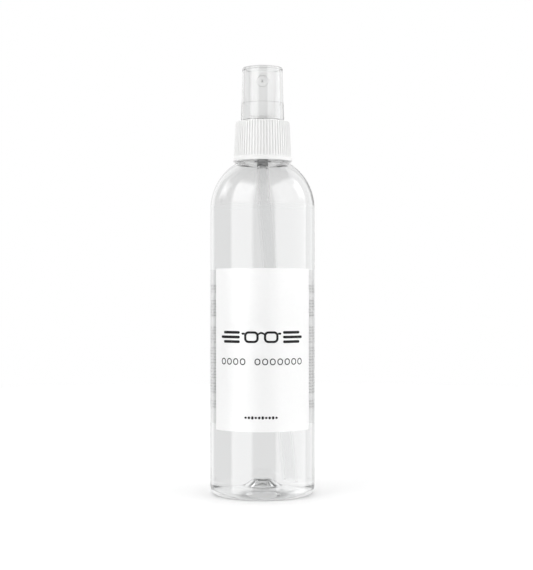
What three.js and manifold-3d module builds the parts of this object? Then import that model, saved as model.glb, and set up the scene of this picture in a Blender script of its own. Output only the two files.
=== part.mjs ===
// Lens cleaning spray: a clear PET bottle with a screw-on fine-mist pump and a clear overcap.
// Millimetres, +Z up. The origin is the centre of the ring the bottle stands on.
// The nozzle and the front label face -Y.

import * as THREE from 'three';
import { mergeVertices } from 'three/addons/utils/BufferGeometryUtils.js';
import Module from 'manifold-3d';

const wasm = await Module();
wasm.setup();

// ---------------------------------------------------------------- driving dimensions

// Facets round each family of turned parts
const BODY_SIDES = 36;
const PUMP_SIDES = 24;
const RIB_COUNT = 60;

// Air left between parts that touch, and round parts that slide
const GAP = 0.1;

// Bottle: 50 mm round body, domed shoulder, 24/410 screw neck
const bodyRadius = 25;
const wall = 0.8;
const heelRadius = 3.8;
const footInnerRadius = 20;
const pushUpHeight = 4.5;
const humpBaseRadius = 5;
const humpTopRadius = 2.4;
const humpHeight = 7.2;
const floorThickness = 0.9;
const shoulderZ = 136.2;
const domeRadius = 25.5;
const domeCentreR = bodyRadius - domeRadius;
const domeEndR = 12.9;
const neckRadius = 10.75;
const neckBore = 9.7;
const neckFootZ = 158.5;
const rimZ = 173.3;

// Screw thread: eight turns to the inch, right-handed
const threadPitch = 3.175;
const threadTurns = 1.5;
const threadStartZ = 166.4;
const neckThreadCentreR = 10.95;
const neckThreadRadius = 0.85;
const collarThreadCentreR = 11.95;
const collarThreadRadius = 0.75;
const collarThreadTurns = 1.25;
const collarThreadLead = 0.25;

// Contents and labels
const liquidZ = 137;
const labelBottomZ = 31.9;
const labelTopZ = 107.4;
const labelHalfAngle = THREE.MathUtils.degToRad(60);
const labelGap = 0.06;
const labelThickness = 0.1;

// Screw collar
const collarBottomZ = 158.7;
const collarTopZ = 177.8;
const collarSkirtRadius = 14.1;
const collarSkirtHeight = 1.5;
const collarBottomRadius = 13.75;
const collarTopRadius = 13;
const collarRoof = 1.3;
const collarBore = 12.15;
const collarHole = 8.7;
const ribDepth = 0.35;
const ribRunOut = 0.4;
const collarShoulder = 0.9;
const collarLeadIn = 0.5;

// Stack clamped under the collar roof, from the neck rim upwards
const gasketBottomZ = rimZ + GAP;
const gasketTopZ = 174.4;
const flangeThickness = 0.9;
const housingFlangeZ = gasketTopZ + GAP;
const turretFlangeZ = housingFlangeZ + flangeThickness + GAP;
const flangeRadius = 11.4;

// Pump housing: a cup that hangs in the neck, the chamber and the dip-tube spigot
const cupOuterRadius = 9.4;
const cupInnerRadius = 8.8;
const cupFloorZ = 171.4;
const cupFloorTopZ = 172.1;
const chamberRadius = 3.4;
const chamberOuterRadius = 4.4;
const chamberFloorZ = 161.1;
const housingShoulderZ = 160.3;
const spigotRadius = 1.75;
const spigotTipZ = 156.5;
const valvePocketRadius = 1.35;
const valvePocketTopZ = 160.5;
const valveSeatTopZ = 158.4;
const valveBore = 0.6;
const inletHole = 0.75;
const housingChamfer = 1;

// Turret: the ring that shows inside the overcap, with the well the button sinks into
const turretRadius = 8.6;
const turretInnerRadius = 7.4;
const turretTopZ = 179.1;
const turretBeadRadius = 8.85;
const turretBeadZ = 178.6;
const turretBeadHalfHeight = 0.25;
const turretLeadIn = 0.2;
const turretFloorZ = 172.3;
const turretFloorTopZ = 173.1;
const plugRadius = 3.3;
const plugBottomZ = 171.3;
const sealPocketZ = 171.9;
const sealPocketRadius = 3.1;

// Stem, piston and poppet
const stemRadius = 1.7;
const stemBore = 0.9;
const stemBottomZ = 168;
const stemTopZ = 193.5;
const stemLeadIn = 0.4;
const stemFlangeRadius = 3;
const stemFlangeBottomZ = 170.4;
const stemFlangeTopZ = 171.1;
const pistonBottomZ = 166.9;
const pistonTopZ = 168.7;
const pistonRadius = 3.3;
const pistonLipBore = 1.25;
const pistonLipTopZ = 167.5;
const pistonInnerLip = 0.7;
const pistonOuterLip = 0.2;
const pistonWaist = 0.15;
const poppetRodRadius = 0.8;
const poppetHeadRadius = 2;
const poppetBottomZ = 165.8;
const poppetTopZ = 172;
const poppetRim = 0.15;

// Springs and ball
const returnSpringRadius = 3.7;
const returnSpringWire = 0.275;
const returnSpringTurns = 6;
const pistonSpringRadius = 2.4;
const pistonSpringWire = 0.18;
const pistonSpringTurns = 2.5;
const ballRadius = 1;

// Dip tube: straight on its spigot, then leaning towards +X in a slight curve
const TUBE_SIDES = 16;
const TUBE_STEPS = 36;
const tubeRadius = 2.75;
const tubeBore = 1.85;
const tubeBottomZ = 6;
const tubeLean = 10;
const tubeBend = 1.15;
const tubeCut = THREE.MathUtils.degToRad(20);
const tubeWellGap = 0.45;

// Button and spray insert
const buttonRadius = 6.15;
const buttonWall = 0.95;
const buttonBottomZ = 178.2;
const buttonTopZ = 201.2;
const buttonRoofZ = 199.3;
const buttonDish = 0.7;
const buttonEdge = 0.6;
const hubRadius = 3.1;
const hubBottomZ = 180.6;
const webBottomZ = 181.6;
const webThickness = 0.9;
const nozzleZ = 196.4;
const nozzleBossRadius = 3.4;
const insertRadius = 2.6;
const insertFrontY = -5.8;
const insertBackY = -3.7;
const ductRadius = 0.6;
const orificeRadius = 0.25;
const countersinkRadius = 1.25;
const countersinkDepth = 0.6;
const swirlRadius = 1.6;
const swirlDepth = 1.1;
const insertEdge = 0.2;
const weld = 0.3;

// Overcap
const capBottomZ = collarTopZ + GAP;
const capTopZ = 203.6;
const capBottomRadius = 10.3;
const capTopRadius = 9.6;
const capRoof = 1;
const capEdge = 0.5;
const capUpperWall = 1.3;
const capLowerWall = 0.9;
const capStepZ = 186.6;
const capBeadBore = 8.95;
const capBeadZ = 178.15;
const capBeadHeight = 0.3;
const capChamfer = 0.4;

// ---------------------------------------------------------------- geometry helpers

// Points of a circular arc about (r, z), angles in degrees
function arc(r, z, radius, from, to, steps) {
  const points = [];
  for (let i = 0; i <= steps; i += 1) {
    const angle = THREE.MathUtils.degToRad(from + ((to - from) * i) / steps);
    points.push([r + radius * Math.cos(angle), z + radius * Math.sin(angle)]);
  }
  return points;
}

// Join equal vertices, drop triangles that shrink to a line, and turn every face outwards
function closed(geometry) {
  const plain = geometry.clone();
  plain.deleteAttribute('normal');
  plain.deleteAttribute('uv');
  const merged = mergeVertices(plain, 1e-5);
  const source = merged.index.array;
  const kept = [];
  for (let i = 0; i < source.length; i += 3) {
    const [a, b, c] = [source[i], source[i + 1], source[i + 2]];
    if (a !== b && b !== c && c !== a) {
      kept.push(a, b, c);
    }
  }
  if (volume(merged.attributes.position, kept) < 0) {
    kept.reverse();
  }
  merged.setIndex(kept);
  return merged;
}

// Signed volume inside a triangle list
function volume(position, triangles) {
  const [a, b, c] = [new THREE.Vector3(), new THREE.Vector3(), new THREE.Vector3()];
  let total = 0;
  for (let i = 0; i < triangles.length; i += 3) {
    a.fromBufferAttribute(position, triangles[i]);
    b.fromBufferAttribute(position, triangles[i + 1]);
    c.fromBufferAttribute(position, triangles[i + 2]);
    total += a.dot(b.cross(c)) / 6;
  }
  return total;
}

// Turn a profile of [radius, height] points about +Z. A profile off the axis closes on itself.
function turned(profile, sides) {
  const last = profile[profile.length - 1];
  const onAxis = profile[0][0] === 0 && last[0] === 0;
  const outline = onAxis ? profile : [...profile, profile[0]];
  const points = outline.map(([r, z]) => new THREE.Vector2(r, z));
  const geometry = new THREE.LatheGeometry(points, sides);
  geometry.rotateX(Math.PI / 2);
  return geometry;
}

// A ring of rectangular section
function ring(innerRadius, outerRadius, bottomZ, topZ, sides) {
  return turned([
    [innerRadius, bottomZ],
    [outerRadius, bottomZ],
    [outerRadius, topZ],
    [innerRadius, topZ],
  ], sides);
}

// A plain disc or rod on the +Z axis
function rod(radius, bottomZ, topZ, sides) {
  return turned([[0, bottomZ], [radius, bottomZ], [radius, topZ], [0, topZ]], sides);
}

// A rod along Y, from the front backwards
function crossRod(radius, fromY, toY, centreZ, sides) {
  const geometry = new THREE.CylinderGeometry(radius, radius, toY - fromY, sides);
  geometry.translate(0, (fromY + toY) / 2, centreZ);
  return geometry;
}

// A helix about +Z that climbs from bottomZ; rise gives the height at a fraction of its length
class Helix extends THREE.Curve {
  constructor(radius, turns, startTurn, rise) {
    super();
    Object.assign(this, { radius, turns, startTurn, rise });
    this.arcLengthDivisions = Math.ceil(turns * 64);
  }

  getPoint(t, target = new THREE.Vector3()) {
    const angle = 2 * Math.PI * (this.startTurn + t * this.turns);
    return target.set(
      this.radius * Math.cos(angle),
      this.radius * Math.sin(angle),
      this.rise(t),
    );
  }
}

// The dip tube's centre line between two heights
class TubeLine extends THREE.Curve {
  constructor(bottomZ, topZ) {
    super();
    Object.assign(this, { bottomZ, topZ });
  }

  getPoint(t, target = new THREE.Vector3()) {
    const z = THREE.MathUtils.lerp(this.bottomZ, this.topZ, t);
    const drop = Math.max(0, (spigotTipZ - z) / (spigotTipZ - tubeBottomZ));
    return target.set(tubeLean * drop ** tubeBend, 0, z);
  }
}

// A round bar of the given radius swept along a curve
function swept(curve, barRadius, barSides, steps) {
  const section = new THREE.Shape();
  for (let i = 0; i < barSides; i += 1) {
    const angle = (2 * Math.PI * i) / barSides;
    const method = i === 0 ? 'moveTo' : 'lineTo';
    section[method](barRadius * Math.cos(angle), barRadius * Math.sin(angle));
  }
  section.closePath();
  return new THREE.ExtrudeGeometry(section, { steps, extrudePath: curve, bevelEnabled: false });
}

// One helical thread ridge; startTurn is where it begins, in turns from +X
function threadRidge(centreR, ridgeRadius, startZ, startTurn, turns) {
  const helix = new Helix(centreR, turns, startTurn, (t) => startZ + threadPitch * turns * t);
  return swept(helix, ridgeRadius, 6, Math.ceil(turns * 24));
}

// A compression spring with half a closed turn at each end
function coilSpring(coilRadius, wireRadius, turns, bottomZ, topZ) {
  const low = bottomZ + wireRadius;
  const high = topZ - wireRadius;
  const flat = 0.5 / turns;
  const rise = (t) => {
    const climb = THREE.MathUtils.clamp((t - flat) / (1 - 2 * flat), 0, 1);
    const closedEnds = 2 * wireRadius * 0.55 * (Math.min(t, flat) + Math.max(t - 1 + flat, 0)) / flat;
    return low + closedEnds + climb * (high - low - 2.2 * wireRadius);
  };
  return swept(new Helix(coilRadius, turns, 0, rise), wireRadius, 5, Math.ceil(turns * 16));
}

function solid(geometry) {
  const mesh = closed(geometry);
  return new wasm.Manifold(new wasm.Mesh({
    numProp: 3,
    vertProperties: new Float32Array(mesh.attributes.position.array),
    triVerts: new Uint32Array(mesh.index.array),
  }));
}

function surface(manifold) {
  const { vertProperties, triVerts } = manifold.getMesh();
  const geometry = new THREE.BufferGeometry();
  geometry.setAttribute('position', new THREE.BufferAttribute(vertProperties, 3));
  geometry.setIndex(new THREE.BufferAttribute(triVerts, 1));
  return geometry;
}

// ---------------------------------------------------------------- bottle and contents

// Height of the shallow domed push-up under the bottle, at a radius
function pushUpZ(r) {
  const sphere = (footInnerRadius ** 2 + pushUpHeight ** 2) / (2 * pushUpHeight);
  return pushUpHeight - sphere + Math.sqrt(sphere ** 2 - r ** 2);
}

// The underside of the bottle from its centre hump to the foot ring, lifted by a thickness
function pushUp(lift) {
  const points = [[0, humpHeight + lift], [humpTopRadius, humpHeight + lift]];
  const steps = 4;
  for (let i = 0; i <= steps; i += 1) {
    const r = THREE.MathUtils.lerp(humpBaseRadius, footInnerRadius, i / steps);
    points.push([r, pushUpZ(r) + lift]);
  }
  return points;
}

function bottle() {
  const heelCentreR = bodyRadius - heelRadius;
  const domeAngle = (radius, r) => THREE.MathUtils.radToDeg(Math.acos((r - domeCentreR) / radius));
  const outside = [
    ...pushUp(0),
    ...arc(heelCentreR, heelRadius, heelRadius, -90, 0, 4),
    ...arc(domeCentreR, shoulderZ, domeRadius, 0, domeAngle(domeRadius, domeEndR), 8),
    [neckRadius, neckFootZ],
    [neckRadius, rimZ],
  ];
  const inside = [
    ...pushUp(floorThickness),
    ...arc(heelCentreR, heelRadius, heelRadius - wall, -90, 0, 4),
    ...arc(domeCentreR, shoulderZ, domeRadius - wall, 0, domeAngle(domeRadius - wall, neckBore), 8),
    [neckBore, rimZ],
  ];
  const blank = solid(turned([...outside, ...inside.reverse()], BODY_SIDES));
  const ridge = threadRidge(neckThreadCentreR, neckThreadRadius, threadStartZ, 0, threadTurns);
  return surface(blank.add(solid(ridge)));
}

// The liquid fills the bottle to the shoulder and leaves a well for the dip tube
function cleaningFluid() {
  const heelCentreR = bodyRadius - heelRadius;
  const dome = Math.asin((liquidZ - shoulderZ) / (domeRadius - wall - GAP));
  const topR = domeCentreR + (domeRadius - wall - GAP) * Math.cos(dome);
  const full = turned([
    ...pushUp(floorThickness + GAP),
    ...arc(heelCentreR, heelRadius, heelRadius - wall - GAP, -90, 0, 4),
    [bodyRadius - wall - GAP, shoulderZ],
    [topR, liquidZ],
    [0, liquidZ],
  ], BODY_SIDES);
  const wellLine = new TubeLine(tubeBottomZ - tubeWellGap, liquidZ + tubeWellGap);
  const well = swept(wellLine, tubeRadius + tubeWellGap, TUBE_SIDES, TUBE_STEPS);
  return surface(solid(full).subtract(solid(well)));
}

// A paper label: a thin shell whose flats lie over the flats of the bottle
function label() {
  const steps = (labelHalfAngle * BODY_SIDES) / Math.PI;
  const inner = bodyRadius + labelGap;
  const outer = inner + labelThickness;
  const shape = new THREE.Shape();
  const point = (radius, i) => {
    const angle = -Math.PI / 2 - labelHalfAngle + (2 * labelHalfAngle * i) / steps;
    return new THREE.Vector2(radius * Math.cos(angle), radius * Math.sin(angle));
  };
  const outline = [];
  for (let i = 0; i <= steps; i += 1) {
    outline.push(point(outer, i));
  }
  for (let i = steps; i >= 0; i -= 1) {
    outline.push(point(inner, i));
  }
  shape.setFromPoints(outline);
  const geometry = new THREE.ExtrudeGeometry(shape, {
    depth: labelTopZ - labelBottomZ,
    bevelEnabled: false,
  });
  geometry.translate(0, 0, labelBottomZ);
  return geometry;
}

// ---------------------------------------------------------------- closure

// Ribbed outside of the collar: every second column of the turned skin is pushed in
function collarSkin() {
  const ribBottomZ = collarBottomZ + collarSkirtHeight;
  const ribTopZ = collarTopZ - collarShoulder;
  const profile = [
    [0, collarBottomZ],
    [collarSkirtRadius, collarBottomZ],
    [collarSkirtRadius, ribBottomZ],
    [collarBottomRadius, ribBottomZ + ribRunOut],
    [collarTopRadius, ribTopZ],
    [collarTopRadius - collarShoulder / 3, collarTopZ - collarShoulder / 3],
    [collarTopRadius - collarShoulder, collarTopZ],
    [0, collarTopZ],
  ];
  const geometry = turned(profile, RIB_COUNT * 2);
  const position = geometry.attributes.position;
  for (let i = 0; i < position.count; i += 1) {
    const column = Math.floor(i / profile.length);
    const z = position.getZ(i);
    if (column % 2 === 1 && z > ribBottomZ + ribRunOut / 2 && z < ribTopZ + ribRunOut / 2) {
      const r = Math.hypot(position.getX(i), position.getY(i));
      const scale = (r - ribDepth) / r;
      position.setXY(i, position.getX(i) * scale, position.getY(i) * scale);
    }
  }
  return geometry;
}

function collar() {
  const roofZ = collarTopZ - collarRoof;
  const cavity = turned([
    [0, collarBottomZ - 1],
    [collarBore + collarLeadIn, collarBottomZ - 1],
    [collarBore + collarLeadIn, collarBottomZ],
    [collarBore, collarBottomZ + collarLeadIn],
    [collarBore, roofZ],
    [collarHole, roofZ],
    [collarHole, collarTopZ + 1],
    [0, collarTopZ + 1],
  ], BODY_SIDES);
  // The collar's ridge runs half a pitch below the neck's
  const startZ = threadStartZ - threadPitch * (0.5 + collarThreadLead);
  const ridge = threadRidge(
    collarThreadCentreR, collarThreadRadius, startZ, -collarThreadLead, collarThreadTurns,
  );
  return surface(solid(collarSkin()).subtract(solid(cavity)).add(solid(ridge)));
}

function neckGasket() {
  return ring(cupOuterRadius + GAP, flangeRadius, gasketBottomZ, gasketTopZ, PUMP_SIDES);
}

function turret() {
  const flangeTopZ = turretFlangeZ + flangeThickness;
  return turned([
    [stemRadius + GAP, plugBottomZ],
    [plugRadius, plugBottomZ],
    [plugRadius, turretFloorZ],
    [turretRadius, turretFloorZ],
    [turretRadius, turretFlangeZ],
    [flangeRadius + GAP, turretFlangeZ],
    [flangeRadius + GAP, flangeTopZ],
    [turretRadius, flangeTopZ],
    [turretRadius, turretBeadZ - turretBeadHalfHeight],
    [turretBeadRadius, turretBeadZ],
    [turretRadius, turretBeadZ + turretBeadHalfHeight],
    [turretRadius - turretLeadIn, turretTopZ],
    [turretInnerRadius, turretTopZ],
    [turretInnerRadius, turretFloorTopZ],
    [sealPocketRadius, turretFloorTopZ],
    [sealPocketRadius, sealPocketZ],
    [stemRadius + GAP, sealPocketZ],
  ], PUMP_SIDES);
}

function stemSeal() {
  const inner = stemRadius + GAP;
  return ring(inner, sealPocketRadius - GAP, sealPocketZ + GAP, turretFloorTopZ - GAP, PUMP_SIDES);
}

// ---------------------------------------------------------------- pump engine

function pumpHousing() {
  return turned([
    [valveBore, spigotTipZ],
    [spigotRadius, spigotTipZ],
    [spigotRadius, housingShoulderZ],
    [chamberOuterRadius - housingChamfer, housingShoulderZ],
    [chamberOuterRadius, housingShoulderZ + housingChamfer],
    [chamberOuterRadius, cupFloorZ],
    [cupOuterRadius, cupFloorZ],
    [cupOuterRadius, housingFlangeZ],
    [flangeRadius, housingFlangeZ],
    [flangeRadius, housingFlangeZ + flangeThickness],
    [cupInnerRadius, housingFlangeZ + flangeThickness],
    [cupInnerRadius, cupFloorTopZ],
    [chamberRadius, cupFloorTopZ],
    [chamberRadius, chamberFloorZ],
    [inletHole, chamberFloorZ],
    [inletHole, valvePocketTopZ],
    [valvePocketRadius, valvePocketTopZ],
    [valvePocketRadius, valveSeatTopZ],
    [valveBore, valveSeatTopZ - (valvePocketRadius - valveBore)],
  ], PUMP_SIDES);
}

function stem() {
  return turned([
    [stemBore, stemBottomZ],
    [stemRadius, stemBottomZ],
    [stemRadius, stemFlangeBottomZ],
    [stemFlangeRadius, stemFlangeBottomZ],
    [stemFlangeRadius, stemFlangeTopZ],
    [stemRadius, stemFlangeTopZ],
    [stemRadius, stemTopZ - stemLeadIn],
    [stemRadius - stemLeadIn, stemTopZ],
    [stemBore, stemTopZ],
  ], PUMP_SIDES);
}

// A sliding cup with a sealing lip on the chamber wall and a lip that rests over the poppet
function piston() {
  return turned([
    [pistonLipBore, pistonBottomZ],
    [pistonLipBore + pistonInnerLip, pistonBottomZ],
    [pistonLipBore + pistonInnerLip + pistonOuterLip, pistonLipTopZ],
    [pistonRadius - 2 * pistonOuterLip, pistonLipTopZ],
    [pistonRadius - pistonOuterLip, pistonBottomZ],
    [pistonRadius, pistonBottomZ],
    [pistonRadius - pistonWaist, (pistonBottomZ + pistonTopZ) / 2],
    [pistonRadius, pistonTopZ],
    [stemRadius + GAP, pistonTopZ],
    [stemRadius + GAP, pistonLipTopZ],
    [pistonLipBore, pistonLipTopZ],
  ], PUMP_SIDES);
}

// The outlet valve: a coned head under the piston on a rod held in the stem
function poppet() {
  return turned([
    [0, poppetBottomZ],
    [poppetHeadRadius, poppetBottomZ],
    [poppetHeadRadius, poppetBottomZ + poppetRim],
    [poppetRodRadius, poppetBottomZ + poppetRim + poppetHeadRadius - poppetRodRadius],
    [poppetRodRadius, poppetTopZ],
    [0, poppetTopZ],
  ], PUMP_SIDES);
}

// The ball touches its 45 degree seat, less the gap
function inletBall() {
  const coneTipZ = valveSeatTopZ - valvePocketRadius;
  const geometry = new THREE.SphereGeometry(ballRadius, 16, 10);
  geometry.rotateX(Math.PI / 2);
  geometry.translate(0, 0, coneTipZ + (ballRadius + GAP) * Math.SQRT2);
  return geometry;
}

function dipTube() {
  const bar = (radius, spare) => {
    const line = new TubeLine(tubeBottomZ - tubeWellGap, housingShoulderZ - GAP + spare);
    return solid(swept(line, radius, TUBE_SIDES, TUBE_STEPS));
  };
  const wedgeSize = 4 * tubeRadius;
  const wedge = new THREE.BoxGeometry(wedgeSize, wedgeSize, wedgeSize);
  wedge.translate(0, 0, -wedgeSize / 2);
  wedge.rotateY(tubeCut);
  wedge.translate(tubeLean, 0, tubeBottomZ + tubeRadius * Math.tan(tubeCut));
  return surface(bar(tubeRadius, 0).subtract(bar(tubeBore, GAP)).subtract(solid(wedge)));
}

// ---------------------------------------------------------------- button and overcap

function button() {
  const inner = buttonRadius - buttonWall;
  const shell = turned([
    [0, buttonRoofZ],
    [inner, buttonRoofZ],
    [inner, buttonBottomZ],
    [buttonRadius, buttonBottomZ],
    [buttonRadius, buttonTopZ - buttonEdge],
    [buttonRadius - buttonEdge, buttonTopZ],
    [buttonRadius / 2, buttonTopZ - buttonDish * 0.75],
    [0, buttonTopZ - buttonDish],
  ], PUMP_SIDES);
  const weldZ = buttonRoofZ + weld;
  let body = solid(shell).add(solid(rod(hubRadius, hubBottomZ, weldZ, PUMP_SIDES)));
  for (const turn of [0, 1 / 4]) {
    const web = new THREE.BoxGeometry(2 * (inner + weld), webThickness, weldZ - webBottomZ);
    web.translate(0, 0, (weldZ + webBottomZ) / 2);
    web.rotateZ(turn * 2 * Math.PI);
    body = body.add(solid(web));
  }
  const ductSides = PUMP_SIDES / 2;
  const boss = crossRod(nozzleBossRadius, -inner - weld, 0, nozzleZ, PUMP_SIDES);
  body = body.add(solid(boss));
  const cuts = [
    rod(stemRadius + GAP, hubBottomZ - weld, stemTopZ + GAP, PUMP_SIDES),
    rod(ductRadius, stemTopZ - weld, nozzleZ + ductRadius, ductSides),
    crossRod(insertRadius + GAP, -2 * buttonRadius, insertBackY + GAP, nozzleZ, PUMP_SIDES),
    crossRod(ductRadius, insertBackY - weld, 0, nozzleZ, ductSides),
  ];
  for (const cut of cuts) {
    body = body.subtract(solid(cut));
  }
  return surface(body);
}

// Spray insert: a small cup with a countersunk mist hole, turned about Y
function sprayInsert() {
  const profile = [
    [orificeRadius, insertFrontY + countersinkDepth],
    [countersinkRadius, insertFrontY],
    [insertRadius - insertEdge, insertFrontY],
    [insertRadius, insertFrontY + insertEdge],
    [insertRadius, insertBackY],
    [swirlRadius, insertBackY],
    [swirlRadius, insertBackY - swirlDepth],
    [orificeRadius, insertBackY - swirlDepth],
    [orificeRadius, insertFrontY + countersinkDepth],
  ];
  const outline = profile.map(([r, y]) => new THREE.Vector2(r, y));
  const geometry = new THREE.LatheGeometry(outline, PUMP_SIDES);
  geometry.translate(0, 0, nozzleZ);
  return geometry;
}

function overcap() {
  const radiusAt = (z) => THREE.MathUtils.mapLinear(z, capBottomZ, capTopZ, capBottomRadius, capTopRadius);
  const roofZ = capTopZ - capRoof;
  const beadTopZ = capBeadZ + capBeadHeight;
  const lowerBore = radiusAt(beadTopZ) - capLowerWall;
  return turned([
    [lowerBore, capBottomZ],
    [capBottomRadius, capBottomZ],
    [radiusAt(capTopZ - capEdge), capTopZ - capEdge],
    ...arc(radiusAt(capTopZ) - capEdge, capTopZ - capEdge, capEdge, 45, 90, 1),
    [0, capTopZ],
    [0, roofZ],
    [radiusAt(roofZ) - capUpperWall - capChamfer, roofZ],
    [radiusAt(roofZ) - capUpperWall, roofZ - capChamfer],
    [radiusAt(capStepZ) - capUpperWall, capStepZ],
    [radiusAt(capStepZ) - capLowerWall, capStepZ - capChamfer],
    [lowerBore, beadTopZ],
    [capBeadBore, capBeadZ],
  ], BODY_SIDES);
}

// ---------------------------------------------------------------- materials and assembly

function material(color, roughness, metalness = 0, opacity = 1) {
  return new THREE.MeshStandardMaterial({
    color,
    roughness,
    metalness,
    opacity,
    transparent: opacity < 1,
  });
}

const clearPet = material(0xeef2f3, 0.05, 0, 0.25);
const clearCap = material(0xf2f4f4, 0.12, 0, 0.35);
const liquid = material(0xf4f8fa, 0.02, 0, 0.2);
const labelPaper = material(0xfbfbfa, 0.55);
const whitePlastic = material(0xf4f4f3, 0.4);
const naturalPlastic = material(0xe6e8e8, 0.35);
const greyPlastic = material(0x6c6e70, 0.4);
const tubePlastic = material(0xe9ebec, 0.3, 0, 0.5);
const sealRubber = material(0xd8d8d6, 0.7);
const springSteel = material(0xb9bcc0, 0.3, 0.9);

const assembly = new THREE.Group();

function place(parent, name, geometry, look) {
  const mesh = new THREE.Mesh(closed(geometry), look);
  mesh.name = name;
  parent.add(mesh);
  return mesh;
}

const filledBottle = new THREE.Group();
place(filledBottle, 'bottle', bottle(), clearPet);
place(filledBottle, 'cleaning_fluid', cleaningFluid(), liquid);
place(filledBottle, 'front_label', label(), labelPaper);
const backLabel = place(filledBottle, 'back_label', label(), labelPaper);
backLabel.rotation.z = Math.PI;

const closure = new THREE.Group();
place(closure, 'collar', collar(), whitePlastic);
place(closure, 'turret_ring', turret(), whitePlastic);
place(closure, 'neck_gasket', neckGasket(), sealRubber);
place(closure, 'stem_seal', stemSeal(), sealRubber);

const springFootZ = turretFloorTopZ + GAP;
const springHeadZ = webBottomZ - GAP;
const pistonSpringFootZ = pistonTopZ + GAP;
const pistonSpringHeadZ = stemFlangeBottomZ - GAP;
const returnSpring = coilSpring(
  returnSpringRadius, returnSpringWire, returnSpringTurns, springFootZ, springHeadZ,
);
const pistonSpring = coilSpring(
  pistonSpringRadius, pistonSpringWire, pistonSpringTurns, pistonSpringFootZ, pistonSpringHeadZ,
);

const engine = new THREE.Group();
place(engine, 'pump_housing', pumpHousing(), greyPlastic);
place(engine, 'inlet_ball', inletBall(), springSteel);
place(engine, 'stem', stem(), naturalPlastic);
place(engine, 'piston', piston(), naturalPlastic);
place(engine, 'poppet', poppet(), naturalPlastic);
place(engine, 'piston_spring', pistonSpring, springSteel);
place(engine, 'return_spring', returnSpring, springSteel);
place(engine, 'dip_tube', dipTube(), tubePlastic);

const head = new THREE.Group();
place(head, 'actuator_button', button(), whitePlastic);
place(head, 'spray_insert', sprayInsert(), whitePlastic);
place(head, 'overcap', overcap(), clearCap);

assembly.add(filledBottle, closure, engine, head);

export default assembly;
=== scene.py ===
import math

import bmesh
import bpy
import numpy as np
from mathutils import Matrix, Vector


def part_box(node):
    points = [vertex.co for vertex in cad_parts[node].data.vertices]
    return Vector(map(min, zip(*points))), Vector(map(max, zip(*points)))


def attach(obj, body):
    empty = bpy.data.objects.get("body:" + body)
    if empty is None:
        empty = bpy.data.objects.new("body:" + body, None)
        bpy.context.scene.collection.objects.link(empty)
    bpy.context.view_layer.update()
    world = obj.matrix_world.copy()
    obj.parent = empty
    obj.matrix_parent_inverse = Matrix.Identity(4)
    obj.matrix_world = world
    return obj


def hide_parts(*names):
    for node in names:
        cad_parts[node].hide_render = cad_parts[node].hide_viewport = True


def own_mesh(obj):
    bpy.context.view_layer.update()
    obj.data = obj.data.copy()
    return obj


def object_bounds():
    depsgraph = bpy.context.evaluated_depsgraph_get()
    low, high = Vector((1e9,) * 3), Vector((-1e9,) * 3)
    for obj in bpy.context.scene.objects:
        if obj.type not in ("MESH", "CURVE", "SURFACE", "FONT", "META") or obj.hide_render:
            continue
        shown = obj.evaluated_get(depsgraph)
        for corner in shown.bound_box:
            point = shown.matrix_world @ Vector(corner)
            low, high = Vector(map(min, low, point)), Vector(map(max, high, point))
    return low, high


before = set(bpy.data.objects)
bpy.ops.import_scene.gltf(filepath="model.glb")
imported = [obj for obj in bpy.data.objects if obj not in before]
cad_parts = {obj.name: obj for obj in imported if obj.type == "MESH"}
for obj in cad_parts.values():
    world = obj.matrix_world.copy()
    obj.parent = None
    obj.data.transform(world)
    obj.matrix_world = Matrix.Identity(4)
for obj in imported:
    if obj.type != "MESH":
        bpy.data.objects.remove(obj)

cad_lo, cad_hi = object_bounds()
scene = bpy.context.scene

# Lens cleaning spray. Sizes are millimetres in the shapes, and metres in the materials, the
# lights and the camera.
MM = 0.001
TAU = 2 * math.pi
FRONT, BACK = -math.pi / 2, math.pi / 2


def span(node):
    """Lowest and highest corner of a CAD node, in millimetres."""
    lo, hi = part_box(node)
    return [v / MM for v in lo], [v / MM for v in hi]


# ---------------------------------------------------------------- sizes from the CAD nodes

bottle_hi = span("bottle")[1]
BODY_R, RIM_Z = bottle_hi[0], bottle_hi[2]
LIQUID_Z = span("cleaning_fluid")[1][2]
LABEL_LO, LABEL_HI = span("front_label")[0][2], span("front_label")[1][2]
collar_lo, collar_hi = span("collar")
cap_lo, cap_hi = span("overcap")
button_lo, button_hi = span("actuator_button")
insert_lo, insert_hi = span("spray_insert")
turret_lo, turret_hi = span("turret_ring")
housing_lo, housing_hi = span("pump_housing")
gasket_lo, gasket_hi = span("neck_gasket")
seal_lo, seal_hi = span("stem_seal")
stem_lo, stem_hi = span("stem")
piston_lo, piston_hi = span("piston")
poppet_lo, poppet_hi = span("poppet")
ball_lo, ball_hi = span("inlet_ball")
tube_lo, tube_hi = span("dip_tube")

# ---------------------------------------------------------------- shape constants

# the bottle: wall, heel, push-up with its hump, shoulder dome, neck and thread
WALL, BASE_WALL = 0.8, 0.9
HEEL_R, HEEL_TOP = 3.8, 4.0
FOOT_IN = 20.0
PUSH_UP = 4.5
HUMP_BASE, HUMP_TOP, HUMP_Z = 6.6, 3.2, 7.2
GATE_NUB = 0.4
DOME_R = 25.5
DOME_CENTRE = BODY_R - DOME_R
DOME_END = 12.9
SHOULDER_Z = RIM_Z - 37.1
NECK_R, NECK_BORE = 10.75, 9.7
NECK_FOOT = RIM_Z - 14.8
NECK_ZONE_R = 12
PITCH = 3.175
THREAD_FADE = 0.07
THREAD_Z = RIM_Z - 6.9
NECK_THREAD = {"centre": 10.95, "radius": 0.85, "start": 0.0, "turns": 1.5, "z": THREAD_Z}
COLLAR_THREAD = {"centre": 11.95, "radius": 0.75, "start": -0.25, "turns": 1.25,
                 "z": THREAD_Z - PITCH * 0.75}
# the faint line where the two halves of the blow mould meet, in millimetres and radians
SEAM_RISE, SEAM_WIDTH = 0.025, 0.012
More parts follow.
